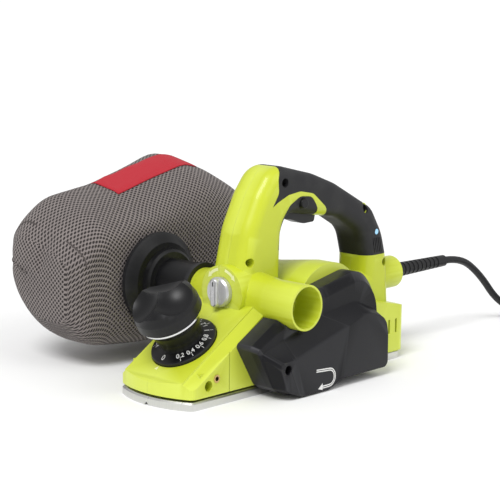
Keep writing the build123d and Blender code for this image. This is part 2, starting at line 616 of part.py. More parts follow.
with BuildPart() as fan:
    rod_y(MOTOR_X, MOTOR_Z, 31, -27, -25.5)
    rod_y(MOTOR_X, MOTOR_Z, 8, -33, -25.5)
    with BuildSketch(Plane.XZ.offset(33)) as vanes:
        with Locations((MOTOR_X, MOTOR_Z)):
            with PolarLocations(20, 9):
                Rectangle(18, 1.5)
    extrude(to_extrude=vanes.sketch, amount=-6.5)
    rod_y(MOTOR_X, MOTOR_Z, SHAFT_R, -60, 0, mode=Mode.SUBTRACT)
save(fan.part, "cooling_fan")

with BuildPart() as motor_bearings:
    rod_y(MOTOR_X, MOTOR_Z, BEARING_R, -43.5, -43.5 + BEARING_W)
    rod_y(MOTOR_X, MOTOR_Z, BEARING_R, 49, 49 + BEARING_W)
    rod_y(MOTOR_X, MOTOR_Z, SHAFT_R + 0.02, -60, 60, mode=Mode.SUBTRACT)
save(motor_bearings.part, "motor_bearings")

with BuildPart() as stator:
    rod_y(MOTOR_X, MOTOR_Z, BARREL_R - WALL, -18, 16)
    rod_y(MOTOR_X, MOTOR_Z, 18.3, -60, 60, mode=Mode.SUBTRACT)
    for side in (-1, 1):
        block(MOTOR_X + side * 25 - 4, MOTOR_X + side * 25 + 4, -60, 60, MOTOR_Z - 9,
              MOTOR_Z + 9, mode=Mode.SUBTRACT)
save(stator.part, "stator")

with BuildPart() as brush_holders:
    for side in (-1, 1):
        block(*sorted((MOTOR_X + side * 12, MOTOR_X + side * 35.5)), 24, 36, MOTOR_Z - 5,
              MOTOR_Z + 5)
    block(MOTOR_X - 34, MOTOR_X + 34, 26, 34, MOTOR_Z - 3, MOTOR_Z + 3, mode=Mode.SUBTRACT)
save(brush_holders.part, "brush_holders")

with BuildPart() as carbon_brushes:
    for side in (-1, 1):
        block(*sorted((MOTOR_X + side * 9, MOTOR_X + side * 26)), 26, 34, MOTOR_Z - 3,
              MOTOR_Z + 3)
    rod_y(MOTOR_X, MOTOR_Z, 10.05, 0, 60, mode=Mode.SUBTRACT)
save(carbon_brushes.part, "carbon_brushes")

# ---------------------------------------------------------------- depth knob
KNOB_NECK, KNOB_RIM = 22.0, 30.0         # radii below and at the knob's head
RING_AT = 27.2                           # height of the knob's bright ring above the dial
SCOOP_R, SCOOP_AT, SCOOP_Z = 30.0, 25.0, 45.0    # finger hollows: radius, offset and height

with BuildPart() as depth_dial:
    turned(tilted(), [(0, -5), (DIAL_R, -5), (DIAL_R, -0.8), (DIAL_R - 0.8, 0), (20, 3), (0, 3)])
    turned(tilted(), [(0, -6), (SCREW_R, -6), (SCREW_R, 4), (0, 4)], mode=Mode.SUBTRACT)
save(depth_dial.part, "depth_dial")

with BuildPart() as depth_knob:
    turned(tilted(), [
        (0, 3), (20, 3), (20.5, 10), (23, 20), (27, RING_AT - 0.8), (27, RING_AT + 0.8),
        (KNOB_RIM, RING_AT + 3), (KNOB_RIM, RING_AT + 12), (28, RING_AT + 20), (22, RING_AT + 26),
        (12, RING_AT + 29.4), (0, RING_AT + 30)])
    turned(tilted(), [(0, 2), (SCREW_R, 2), (SCREW_R, 22), (0, 22)], mode=Mode.SUBTRACT)
    # three finger hollows in the head
    for angle in (30, 150, 270):
        lean = tilted(RING_AT + SCOOP_Z)
        across = lean.x_dir * SCOOP_AT * cos(radians(angle))
        along = lean.y_dir * SCOOP_AT * sin(radians(angle))
        with Locations(lean.origin + across + along):
            Sphere(SCOOP_R, mode=Mode.SUBTRACT)
save(depth_knob.part, "depth_knob")

with BuildPart() as knob_ring:
    turned(tilted(), [(27, RING_AT - 0.8), (27.9, RING_AT - 0.8), (27.9, RING_AT + 0.8),
                      (27, RING_AT + 0.8)])
save(knob_ring.part, "knob_ring")

with BuildPart() as depth_screw:
    turned(tilted(), [(0, -46), (SCREW_R - 1, -46), (SCREW_R, -45), (SCREW_R, 22), (0, 22)])
save(depth_screw.part, "depth_screw")

with BuildPart() as depth_spring:
    seat = tilted(-41)
    with BuildLine():
        coil = Helix(pitch=4.2, height=21, radius=11.5, center=seat.origin, direction=seat.z_dir)
    with BuildSketch(Plane(origin=coil @ 0, z_dir=coil % 0)):
        Circle(0.9)
    sweep(is_frenet=True)
save(depth_spring.part, "depth_spring")

# ---------------------------------------------------------------- chip diverter
with BuildPart() as diverter_flap:
    rod_x(SELECTOR_Y, SELECTOR_Z, 3.0, -58, 0)
    hang = Plane(origin=(DUCT_X, SELECTOR_Y, SELECTOR_Z), x_dir=(1, 0, 0),
                 z_dir=(0, -sin(radians(45)), cos(radians(45))))
    with BuildSketch(hang) as leaf:
        with Locations((0, -(SELECTOR_Z - DUCT_Z))):
            Circle(15.2)
        with Locations((0, 20)):
            Rectangle(60, 40, mode=Mode.SUBTRACT)
    extrude(to_extrude=leaf.sketch, amount=1.0, both=True)
save(diverter_flap.part, "diverter_flap")

with BuildPart() as diverter_knob:
    rod_x(SELECTOR_Y, SELECTOR_Z, 13.5, -54, -48.4)
    chamfer(diverter_knob.faces().sort_by(Axis.X)[0].edges(), 1.6)
    with BuildSketch(Plane.YZ.offset(-59)) as ridge:
        with Locations((SELECTOR_Y, SELECTOR_Z)):
            SlotOverall(26, 8, rotation=90)
    extrude(to_extrude=ridge.sketch, amount=6)
    fillet(diverter_knob.faces().sort_by(Axis.X)[0].edges(), 2)
    rod_x(SELECTOR_Y, SELECTOR_Z, 3.0, -58, -40, mode=Mode.SUBTRACT)
save(diverter_knob.part, "diverter_knob")

# ---------------------------------------------------------------- switch
with BuildPart() as trigger:
    side_prism(
        [(18.6, 147), (26, 157.5), (34, 157.5), (37, 151), (48, 151), (50, 156), (72, 156),
         (73.5, 147), (72, 138.5), (56, 138), (40, 143.5)],
        [2, 2, 1, 2, 2, 1, 2, 3, 3, 20, 20], -6.2, 6.2)
    rod_y(*TRIGGER_PIVOT, 1.55, -20, 20, mode=Mode.SUBTRACT)
save(trigger.part, "trigger")

with BuildPart() as trigger_pin:
    rod_y(*TRIGGER_PIVOT, 1.5, -10, 10)
save(trigger_pin.part, "trigger_pin")

with BuildPart() as lock_button:
    rod_y(*LOCK_AT, 4.7, -23.5, -13)
    rod_y(*LOCK_AT, 2.2, -13, 16)
    fillet(lock_button.faces().sort_by(Axis.Y)[0].edges(), 1.2)
save(lock_button.part, "lock_off_button")

with BuildPart() as power_light:
    rod_y(*LENS_AT, LENS_R, -20.8, -16.6)
    fillet(power_light.faces().sort_by(Axis.Y)[0].edges(), 1)
save(power_light.part, "power_light")

with BuildPart() as switch_body:
    block(46, 76, -12, 12, 164, 174.5)
    block(54, 62, -3, 3, 161, 164)
save(switch_body.part, "switch_body")

with BuildPart() as capacitor:
    block(102, 120, -9, 9, 145, 153)
save(capacitor.part, "capacitor")

# ---------------------------------------------------------------- mains lead
GUARD_END = 285.0
COIL_X, COIL_Y = 440.0, -70.0
COIL_R = 42.0                            # middle of the turns
COIL_ROWS = 3
COIL_HALF = COIL_ROWS * CORD_D / 2       # half of the wound bundle, wide and high
OUTER_TURN = COIL_R + CORD_D
PLUG_Z = 15.0
CORD_ROUTE = [
    (GUARD_END, 0, CORD_Z), (315, 0, CORD_Z), (348, -3, 52), (374, -9, 19),
    (405, COIL_Y + OUTER_TURN, CORD_D / 2), (COIL_X, COIL_Y + OUTER_TURN, CORD_D / 2),
]

with BuildPart() as cord_clamp:
    block(150, 158, -13, 13, CORD_Z - 7, CORD_Z - CORD_D / 2)
save(cord_clamp.part, "cord_clamp")

with BuildPart() as cord_guard:
    rod_x(0, CORD_Z, 9, 176, 180)
    rod_x(0, CORD_Z, 6.9, 180, BOSS_X)
    with BuildSketch(Plane.YZ.offset(BOSS_X)) as root:
        with Locations((0, CORD_Z)):
            Circle(7.4)
    with BuildSketch(Plane.YZ.offset(GUARD_END)) as tip:
        with Locations((0, CORD_Z)):
            Circle(5.9)
    loft([root.sketch.face(), tip.sketch.face()])
    for step in range(10):
        x = BOSS_X + 8 + 7 * step
        groove_floor = 6.7 - 1.5 * (x - BOSS_X) / (GUARD_END - BOSS_X)
        rod_x(0, CORD_Z, 9, x, x + 2.2, mode=Mode.SUBTRACT)
        rod_x(0, CORD_Z, groove_floor, x - 0.1, x + 2.3)
save(cord_guard.part, "cord_guard")


def route_radii(points):
    """Bend radius at each inner point: the arc takes 0.45 of the shorter run on each side."""
    radii = []
    for before, here, after in zip(points, points[1:], points[2:]):
        first = Vector(here) - Vector(before)
        second = Vector(after) - Vector(here)
        half_turn = radians(first.get_angle(second)) / 2
        radii.append(0.45 * min(first.length, second.length) / tan(half_turn))
    return radii


cord_radii = route_radii(CORD_ROUTE)
print("cord radii", [round(radius, 1) for radius in cord_radii])
with BuildPart() as power_cord:
    with BuildLine() as route:
        FilletPolyline(*CORD_ROUTE, radius=cord_radii)
    with BuildSketch(Plane(origin=CORD_ROUTE[0], x_dir=(0, 1, 0), z_dir=(1, 0, 0))):
        Circle(CORD_D / 2)
    sweep()
print("cord tube length", round(sum(edge.length for edge in route.edges()), 1), "volume / section",
      round(power_cord.part.volume / (pi * (CORD_D / 2) ** 2), 1))
save(power_cord.part, "power_cord")

with BuildPart() as cord_coil:
    with BuildSketch(Plane.XZ.offset(-COIL_Y)):
        with Locations((COIL_X + COIL_R, COIL_HALF)):
            RectangleRounded(2 * COIL_HALF, 2 * COIL_HALF, 3)
    revolve(axis=Axis((COIL_X, COIL_Y, 0), (0, 0, 1)))
    add(power_cord.part, mode=Mode.SUBTRACT)
save(cord_coil.part, "cord_coil")

PLUG_X = COIL_X - 31                     # where the lead goes into the plug
PLUG_Y = COIL_Y - OUTER_TURN
with BuildPart() as mains_plug:
    rod_x(PLUG_Y, PLUG_Z, 5.5, PLUG_X - 14, PLUG_X)
    rod_x(PLUG_Y, PLUG_Z, 15, PLUG_X - 52, PLUG_X - 14)
    fillet(mains_plug.faces().sort_by(Axis.X)[0].edges(), 2)
save(mains_plug.part, "mains_plug")

with BuildPart() as plug_pins:
    for side in (-1, 1):
        rod_x(PLUG_Y + 9.5 * side, PLUG_Z, 2.4, PLUG_X - 71, PLUG_X - 52)
save(plug_pins.part, "plug_pins")

# ---------------------------------------------------------------- dust bag
ADAPTOR_R = 22.0
BAG_SECTIONS = [                 # x, y0, y1, z0, z1, corner radius
    (-110, 142, 214, 56, 108, 24), (-98, 117, 234, 27, 128, 32), (-76, 113, 236, 20, 150, 40),
    (-20, 113, 236, 14, 170, 44), (35, 113, 236, 15, 186, 44), (60, 113, 236, 18, 193, 44),
    (88, 113, 236, 20, 186, 44), (122, 117, 233, 28, 168, 36), (140, 138, 214, 60, 136, 24),
]
BAG_WALL = 2.0
LABEL_T = 0.8
LABEL_LINE = [(-20, 170), (35, 186), (60, 193), (84, 187)]   # crown of the bag under the patch
LABEL_Y = (158.0, 191.0)

with BuildPart() as bag_adaptor:
    rod_y(DUCT_X, DUCT_Z, ADAPTOR_R, 47, 112.5)
    rod_y(DUCT_X, DUCT_Z, 25, 110.5, 112.5)
    rod_y(DUCT_X, DUCT_Z, ADAPTOR_R + 1.6, 47, 52)
    rod_y(DUCT_X, DUCT_Z, DUCT_R + 0.08, 40, PORT_FAR + 0.3, mode=Mode.SUBTRACT)
    rod_y(DUCT_X, DUCT_Z, DUCT_BORE, 40, 120, mode=Mode.SUBTRACT)
save(bag_adaptor.part, "bag_adaptor")

with BuildPart() as bag_collar:
    turned(Plane(origin=(DUCT_X, 0, DUCT_Z), x_dir=(1, 0, 0), z_dir=(0, 1, 0)), [
        (ADAPTOR_R + 0.08, 90), (28, 90), (30.5, 92), (30.5, 97), (36, 98.5), (COLLAR_R, 106),
        (COLLAR_R, 110), (41, BAG_Y0), (25.4, BAG_Y0), (25.4, 110.2), (ADAPTOR_R + 0.08, 110.2)])
save(bag_collar.part, "bag_collar")


def bag_section(x, y0, y1, z0, z1, corner, inset=0.0):
    """One rounded cross-section of the bag."""
    with BuildSketch(Plane.YZ.offset(x)) as section:
        with Locations(((y0 + y1) / 2, (z0 + z1) / 2)):
            RectangleRounded(y1 - y0 - 2 * inset, z1 - z0 - 2 * inset, corner - inset)
    return section.sketch.face()


with BuildPart() as dust_bag:
    loft([bag_section(*row) for row in BAG_SECTIONS], ruled=True)
    inner = [list(row) for row in BAG_SECTIONS]
    inner[0][0] += BAG_WALL
    inner[-1][0] -= BAG_WALL
    loft([bag_section(*row, inset=BAG_WALL) for row in inner], ruled=True, mode=Mode.SUBTRACT)
    rod_y(DUCT_X, DUCT_Z, 30, BAG_Y0 - 5, BAG_Y0 + 8, mode=Mode.SUBTRACT)
save(dust_bag.part, "dust_bag")

with BuildPart() as bag_label:
    # woven patch that lies along the crown of the bag
    side_prism(
        LABEL_LINE + [(x, z + LABEL_T) for x, z in reversed(LABEL_LINE)],
        [0] * (2 * len(LABEL_LINE)), *LABEL_Y)
save(bag_label.part, "bag_label")
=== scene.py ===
"""Looks of the electric hand planer: materials, lead, dust bag, markings, light and camera."""

import json
from math import cos, pi, radians, sin, tau

import bmesh
import bpy
import numpy as np
from mathutils import Matrix, Vector
from mathutils.bvhtree import BVHTree


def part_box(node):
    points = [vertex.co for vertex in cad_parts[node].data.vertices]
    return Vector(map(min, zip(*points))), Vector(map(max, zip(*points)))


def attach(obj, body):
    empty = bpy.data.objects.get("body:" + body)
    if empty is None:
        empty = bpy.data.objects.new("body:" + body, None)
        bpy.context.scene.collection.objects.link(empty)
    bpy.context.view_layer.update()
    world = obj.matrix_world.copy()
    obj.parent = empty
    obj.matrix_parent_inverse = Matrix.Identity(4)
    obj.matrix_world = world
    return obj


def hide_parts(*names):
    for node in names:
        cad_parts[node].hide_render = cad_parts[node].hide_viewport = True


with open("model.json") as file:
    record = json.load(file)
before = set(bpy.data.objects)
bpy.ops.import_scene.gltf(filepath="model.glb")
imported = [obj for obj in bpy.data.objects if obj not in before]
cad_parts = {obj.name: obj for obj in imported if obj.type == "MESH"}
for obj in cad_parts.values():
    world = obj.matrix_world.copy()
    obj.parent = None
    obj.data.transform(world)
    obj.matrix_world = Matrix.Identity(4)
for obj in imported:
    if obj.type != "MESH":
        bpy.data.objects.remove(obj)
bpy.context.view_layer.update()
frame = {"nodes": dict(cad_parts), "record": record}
NODES = frame["nodes"]
MM = 0.001


# ---------------------------------------------------------------- shader helpers
def start_material(name, colour, roughness, metallic=0.0, **sockets):
    """A node material with its principled shader; further sockets are given by name."""
    material = bpy.data.materials.new(name)
    material.use_nodes = True
    tree = material.node_tree
    shader = tree.nodes["Principled BSDF"]
    shader.inputs["Base Color"].default_value = (*colour, 1)
    shader.inputs["Roughness"].default_value = roughness
    shader.inputs["Metallic"].default_value = metallic
    for socket, value in sockets.items():
        shader.inputs[socket.replace("_", " ")].default_value = value
    return material, tree, shader


def position(tree, stretch=(1, 1, 1), turn=(0, 0, 0), kind="Object"):
    """Coordinates of the piece in metres, stretched and turned."""
    source = tree.nodes.new("ShaderNodeTexCoord")
    mapping = tree.nodes.new("ShaderNodeMapping")
    mapping.inputs["Scale"].default_value = stretch
    mapping.inputs["Rotation"].default_value = turn
    tree.links.new(source.outputs[kind], mapping.inputs["Vector"])
    return mapping.outputs["Vector"]


def noise(tree, vector, scale, detail):
    """Value of a noise field."""
    node = tree.nodes.new("ShaderNodeTexNoise")
    node.inputs["Scale"].default_value = scale
    node.inputs["Detail"].default_value = detail
    tree.links.new(vector, node.inputs["Vector"])
    return node.outputs["Fac"]


def remap(tree, value, low, high, to_low=0.0, to_high=1.0, smooth=False):
    """Value carried from one range to another, clamped."""
    node = tree.nodes.new("ShaderNodeMapRange")
    if smooth:
        node.interpolation_type = "SMOOTHSTEP"
    limits = {"From Min": low, "From Max": high, "To Min": to_low, "To Max": to_high}
    for socket, number in limits.items():
        node.inputs[socket].default_value = number
    tree.links.new(value, node.inputs["Value"])
    return node.outputs["Result"]


def blend_colour(tree, factor, first, second):
    """Colour between two colours or colour sockets."""
    node = tree.nodes.new("ShaderNodeMix")
    node.data_type = "RGBA"
    tree.links.new(factor, node.inputs["Factor"])
    for socket, colour in ((node.inputs["A"], first), (node.inputs["B"], second)):
        if isinstance(colour, tuple):
            socket.default_value = (*colour, 1)
        else:
            tree.links.new(colour, socket)
    return node.outputs["Result"]


def combine(tree, operation, first, second):
    """Two values, sockets or numbers, joined by a math operation."""
    node = tree.nodes.new("ShaderNodeMath")
    node.operation = operation
    for socket, value in zip(node.inputs, (first, second)):
        if isinstance(value, (int, float)):
            socket.default_value = value
        else:
            tree.links.new(value, socket)
    return node.outputs["Value"]


def add_bump(tree, shader, height, distance, edge_radius=0.0):
    """Surface relief, its depth in metres, over edges shaded as if rounded to a radius."""
    node = tree.nodes.new("ShaderNodeBump")
    if edge_radius:
        bevel = tree.nodes.new("ShaderNodeBevel")
        bevel.samples = 6
        bevel.inputs["Radius"].default_value = edge_radius
        tree.links.new(bevel.outputs["Normal"], node.inputs["Normal"])
    node.inputs["Distance"].default_value = distance
    tree.links.new(height, node.inputs["Height"])
    tree.links.new(node.outputs["Normal"], shader.inputs["Normal"])


def edge_wear_and_highlight(tree):
    """Value that rises along convex edges, where colour is lightened as rubbed wear and as
    painted highlight.
    """
    node = tree.nodes.new("ShaderNodeNewGeometry")
    return remap(tree, node.outputs["Pointiness"], 0.52, 0.62)


# ---------------------------------------------------------------- materials
def moulded_plastic(name, colour, roughness, grain=900.0, depth=0.00004, worn_and_highlight=None,
                    edge_radius=0.0, **sockets):
    """Moulded plastic: spark-eroded grain, slight cloudiness, and edges lightened partly as
    rubbed wear and partly as painted highlight.
    """
    material, tree, shader = start_material(name, colour, roughness, **sockets)
    here = position(tree)
    cloud = noise(tree, here, 14, 4)
    darker = tuple(channel * 0.93 for channel in colour)
    lighter = tuple(min(1.0, channel * 1.04) for channel in colour)
    base = blend_colour(tree, remap(tree, cloud, 0.35, 0.65), darker, lighter)
    # Convex edges are lightened: partly rubbed wear, partly painted highlight along the ridges.
    if worn_and_highlight:
        base = blend_colour(tree, edge_wear_and_highlight(tree), base, worn_and_highlight)
    tree.links.new(base, shader.inputs["Base Color"])
    smudge = remap(tree, noise(tree, here, 38, 5), 0.3, 0.7, roughness - 0.05, roughness + 0.07)
    tree.links.new(smudge, shader.inputs["Roughness"])
    add_bump(tree, shader, noise(tree, here, grain, 2), depth, edge_radius=edge_radius)
    return material


def overmould_rubber():
    """Dark grip rubber: matt, pebbled and a little dusty."""
    material, tree, shader = start_material("grip_rubber", (0.02, 0.02, 0.021), 0.55,
                                            Specular_IOR_Level=0.36)
    here = position(tree)
    dust = remap(tree, noise(tree, here, 60, 6), 0.45, 0.75)
    tree.links.new(blend_colour(tree, dust, (0.013, 0.013, 0.015), (0.024, 0.024, 0.025)),
                   shader.inputs["Base Color"])
    add_bump(tree, shader, noise(tree, here, 1500, 2), 0.00008)
    return material


def ground_metal(name, colour, roughness, stretch, scratch=0.00002):
    """Metal ground or turned in one direction, with fine parallel scratches."""
    material, tree, shader = start_material(name, colour, roughness, metallic=1.0)
    lines = noise(tree, position(tree, stretch), 1.0, 6)
    dull = tuple(channel * 0.8 for channel in colour)
    tree.links.new(blend_colour(tree, lines, dull, colour), shader.inputs["Base Color"])
    tree.links.new(remap(tree, lines, 0.3, 0.7, roughness - 0.08, roughness + 0.12),
                   shader.inputs["Roughness"])
    add_bump(tree, shader, lines, scratch)
    return material


HOLE_PITCH = 3.3 * MM           # distance between the holes of the spacer mesh


def bag_mesh_fabric():
    """Knitted spacer mesh: a diamond grid of holes between padded threads, the holes painted near
    black as the shade inside them.
    """
    material, tree, shader = start_material("bag_fabric", (0.2, 0.17, 0.165), 0.85,
                                            Sheen_Weight=0.08)
    density = 1 / HOLE_PITCH
    cells = tree.nodes.new("ShaderNodeTexVoronoi")
    cells.voronoi_dimensions = "2D"
    cells.inputs["Scale"].default_value = 1.0
    cells.inputs["Randomness"].default_value = 0.06
    on_cloth = position(tree, (density, density, 1), (0, 0, pi / 4), "UV")
    tree.links.new(on_cloth, cells.inputs["Vector"])
    away = cells.outputs["Distance"]
    here = position(tree)
    hole_shade_to_thread = remap(tree, away, 0.27, 0.43, smooth=True)
    tone = remap(tree, noise(tree, here, 25, 4), 0.3, 0.7)
    threads = blend_colour(tree, tone, (0.17, 0.145, 0.14), (0.23, 0.2, 0.19))
    fibres = noise(tree, here, 2600, 2)
    threads = blend_colour(tree, remap(tree, fibres, 0.3, 0.7), threads, (0.26, 0.225, 0.215))
    # Between the threads the holes are painted near black: painted shade in the hollows of the
    # mesh.
    tree.links.new(blend_colour(tree, hole_shade_to_thread, (0.016, 0.011, 0.011), threads),
                   shader.inputs["Base Color"])
    padding = remap(tree, away, 0.15, 0.6, smooth=True)
    height = combine(tree, "ADD", padding, combine(tree, "MULTIPLY", fibres, 0.2))
    add_bump(tree, shader, height, 0.0009)
    return material


def woven_label():
    """Red woven label with a fine twill."""
    material, tree, shader = start_material("label_weave", (0.5, 0.01, 0.025), 0.8,
                                            Sheen_Weight=0.04)
    wave = tree.nodes.new("ShaderNodeTexWave")
    wave.inputs["Scale"].default_value = 320
    wave.inputs["Distortion"].default_value = 0.4
    wave.bands_direction = "DIAGONAL"
    tree.links.new(position(tree), wave.inputs["Vector"])
    twill = wave.outputs["Fac"]
    tree.links.new(blend_colour(tree, twill, (0.40, 0.006, 0.018), (0.54, 0.010, 0.026)),
                   shader.inputs["Base Color"])
    add_bump(tree, shader, twill, 0.0002)
    return material


MATERIALS = {
    # The third colour given to the shell, cover and black plastic lightens their convex edges:
    # rubbed wear and painted highlight.
    "shell": moulded_plastic("shell_plastic", (0.545, 0.615, 0.022), 0.36,
                             worn_and_highlight=(0.66, 0.75, 0.09), edge_radius=1.0 * MM, Coat_Weight=0.15),
    "grip": overmould_rubber(),
    "cover": moulded_plastic("cover_plastic", (0.0052, 0.0052, 0.0068), 0.36, 700, 0.00005,
                             (0.05, 0.05, 0.055), edge_radius=1.8 * MM, Specular_IOR_Level=0.2),
    "black_plastic": moulded_plastic("black_plastic", (0.005, 0.005, 0.0058), 0.33, 1100, 0.00003,
                                     (0.02, 0.02, 0.022), Specular_IOR_Level=0.3),
    "silver_plastic": moulded_plastic("silver_plastic", (0.56, 0.56, 0.57), 0.3, 1400, 0.00001,
                                      Metallic=0.55),
    "alloy": ground_metal("ground_alloy", (0.74, 0.74, 0.73), 0.34, (20, 900, 60)),
    "steel": ground_metal("machined_steel", (0.52, 0.52, 0.53), 0.3, (500, 60, 500)),
    # Screw steel coloured near black: painted shade for the deep wells the screws sit in.
    "dark_steel": ground_metal("dark_steel_painted_shade", (0.05, 0.05, 0.052), 0.45, (500, 60, 500)),
    # The lens glows faintly blue though nothing lights it: painted glow.
    "lens": moulded_plastic("lens_plastic_painted_glow", (0.3, 0.55, 0.75), 0.15,
                            Emission_Color=(0.3, 0.6, 0.85, 1), Emission_Strength=0.35),
    "bright_ring": ground_metal("polished_ring", (0.86, 0.86, 0.88), 0.12, (80, 80, 80),
                                0.000002),
    "brass": ground_metal("turned_brass", (0.72, 0.5, 0.2), 0.3, (600, 60, 600)),
    "copper": ground_metal("turned_copper", (0.78, 0.38, 0.22), 0.28, (600, 60, 600)),
    "laminations": ground_metal("laminations", (0.1, 0.1, 0.11), 0.5, (20, 1600, 20), 0.0001),
    "carbon": moulded_plastic("carbon", (0.03, 0.03, 0.03), 0.6),
    "belt": moulded_plastic("belt_rubber", (0.015, 0.015, 0.015), 0.7),
    "switch_plastic": moulded_plastic("switch_plastic", (0.06, 0.06, 0.065), 0.5),
    "cord": moulded_plastic("cord_rubber", (0.010, 0.010, 0.011), 0.42, 800, 0.00003,
                            Specular_IOR_Level=0.36),
    "bag_cloth": bag_mesh_fabric(),
    "label_cloth": woven_label(),
    "seam": moulded_plastic("seam_thread", (0.07, 0.058, 0.055), 0.8, 2200, 0.0002),
}
MARK_WHITE = moulded_plastic("printed_white", (0.82, 0.82, 0.8), 0.5)
MARK_PALE = moulded_plastic("printed_pale", (0.86, 0.9, 0.45), 0.45)
MARK_DARK = moulded_plastic("printed_dark", (0.02, 0.02, 0.02), 0.5)

for entry in frame["record"]["subparts"]:
    node = NODES[entry["node"]]
    node.data.materials.clear()
    node.data.materials.append(MATERIALS[entry["material_slot"]])


# ---------------------------------------------------------------- pieces
def new_piece(name, mesh_data, material):
    """A mesh or curve linked to the scene with one material."""
    piece = bpy.data.objects.new(name, mesh_data)
    bpy.context.scene.collection.objects.link(piece)
    piece.data.materials.append(material)
    return piece


def mesh_piece(name, mesh, material):
    """A piece from a finished bmesh."""
    data = bpy.data.meshes.new(name)
    mesh.to_mesh(data)
    mesh.free()
    return new_piece(name, data, material)


def evaluated_mesh(holder):
    """Mesh of an object as it is shown, its modifiers and bevels included."""
    shown = holder.evaluated_get(bpy.context.evaluated_depsgraph_get())
    return bpy.data.meshes.new_from_object(shown)


def nurbs_line(name, points, radius, sides):
    """Round tube on one smooth open spline."""
    curve = bpy.data.curves.new(name, "CURVE")
    curve.dimensions = "3D"
    curve.bevel_depth = radius
    curve.bevel_resolution = sides
    spline = curve.splines.new("NURBS")
    spline.points.add(len(points) - 1)
    for target, point in zip(spline.points, points):
        target.co = (*point, 1)
    spline.order_u = 3
    spline.use_endpoint_u = True
    return curve


def add_curve_mesh(mesh, curve, matrix=None):
    """The mesh of a curve or text, added to a bmesh; the curve itself is removed."""
    holder = bpy.data.objects.new(curve.name, curve)
    bpy.context.scene.collection.objects.link(holder)
    bpy.context.view_layer.update()
    data = evaluated_mesh(holder)
    if matrix:
        data.transform(matrix)
    mesh.from_mesh(data)
    bpy.data.objects.remove(holder)
    bpy.data.curves.remove(curve)
    bpy.data.meshes.remove(data)


def shade_smooth(piece):
    """Smooth shading on every face."""
    piece.data.polygons.foreach_set("use_smooth", [True] * len(piece.data.polygons))


# ---------------------------------------------------------------- lead
# The same route as the CAD tube, then the turns of the put-away coil, then the plug.
CORD_D = 7.6 * MM
CORD_ROUTE = [
    (285, 0, 74), (315, 0, 74), (348, -3, 52), (374, -9, 19), (405, -20.4, 3.8),
    (440, -20.4, 3.8),
]
COIL_CENTRE = Vector((440, -70, 0)) * MM
COIL_R = 42 * MM
TURN_POINTS = 16
CHANGE_AT = 0.75                # share of a turn after which the lead moves to the next place
# (column outwards, layer upwards) of each turn, in the order it is wound
WINDING = [(1, 0), (0, 0), (-1, 0), (-1, 1), (-1, 2), (0, 2), (0, 1), (1, 1), (1, 2)]


def coil_points():
    """Points of the wound turns, clockwise from the side where the lead arrives."""
    points = []
    total = int((len(WINDING) - 0.5) * TURN_POINTS)
    for step in range(1, total + 1):
        turns = step / TURN_POINTS
        index = min(int(turns), len(WINDING) - 1)
        following = WINDING[min(index + 1, len(WINDING) - 1)]
        ease = max(0.0, (turns - index - CHANGE_AT) / (1 - CHANGE_AT))
        column = WINDING[index][0] + (following[0] - WINDING[index][0]) * ease
        layer = WINDING[index][1] + (following[1] - WINDING[index][1]) * ease
        radius = COIL_R + column * CORD_D
        angle = pi / 2 - tau * turns
        points.append(COIL_CENTRE + Vector((
            radius * cos(angle), radius * sin(angle), CORD_D * (0.5 + layer))))
    return points


plug_low, plug_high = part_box("mains_plug")
plug_middle = (plug_low + plug_high) / 2
plug_entry = Vector((plug_high.x, plug_middle.y, plug_middle.z))
lead_points = [Vector(point) * MM for point in CORD_ROUTE] + coil_points()
lead_points.append(plug_entry + Vector((12, 0, 1)) * MM)
lead_points.append(plug_entry)
lead_curve = nurbs_line("power_lead", lead_points, CORD_D / 2, 5)
lead_curve.resolution_u = 8
lead = new_piece("power_lead", lead_curve, MATERIALS["cord"])
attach(lead, "machine")
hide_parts("power_cord", "cord_coil")
tuple(lead_points[0])


# ---------------------------------------------------------------- dust bag
duct_low, duct_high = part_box("bag_adaptor")
DUCT = Vector(((duct_low.x + duct_high.x) / 2, 0, (duct_low.z + duct_high.z) / 2))
bag_low, bag_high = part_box("dust_bag")
collar_low, collar_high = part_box("bag_collar")
COLLAR_R = (collar_high.x - collar_low.x) / 2
# cross-sections: x, low y, high y, low z, high z, corner radius, radius of the lower far corner
BAG_SECTIONS = np.array([
    (-110, 138, 218, 44, 120, 24, 50), (-100, 117, 236, 25, 135, 32, 74),
    (-78, 113, 236, 17, 158, 40, 76), (-20, 113, 236, 10, 172, 44, 60),
    (35, 113, 236, 11, 186, 44, 48), (60, 113, 236, 14, 193, 44, 44),
    (88, 113, 236, 18, 186, 44, 44), (122, 117, 233, 28, 168, 36, 40),
    (140, 138, 214, 60, 136, 24, 30),
]) * MM
SIDE_STEPS, CORNER_STEPS, LONG_STEPS, CAP_STEPS = 14, 7, 46, 9
BAG_INSET = 2.0 * MM
FOOT_SHARE = 0.5                # lower corners of the sections against the upper ones
CROWN_Y, CROWN_LEAN = 205 * MM, 0.24


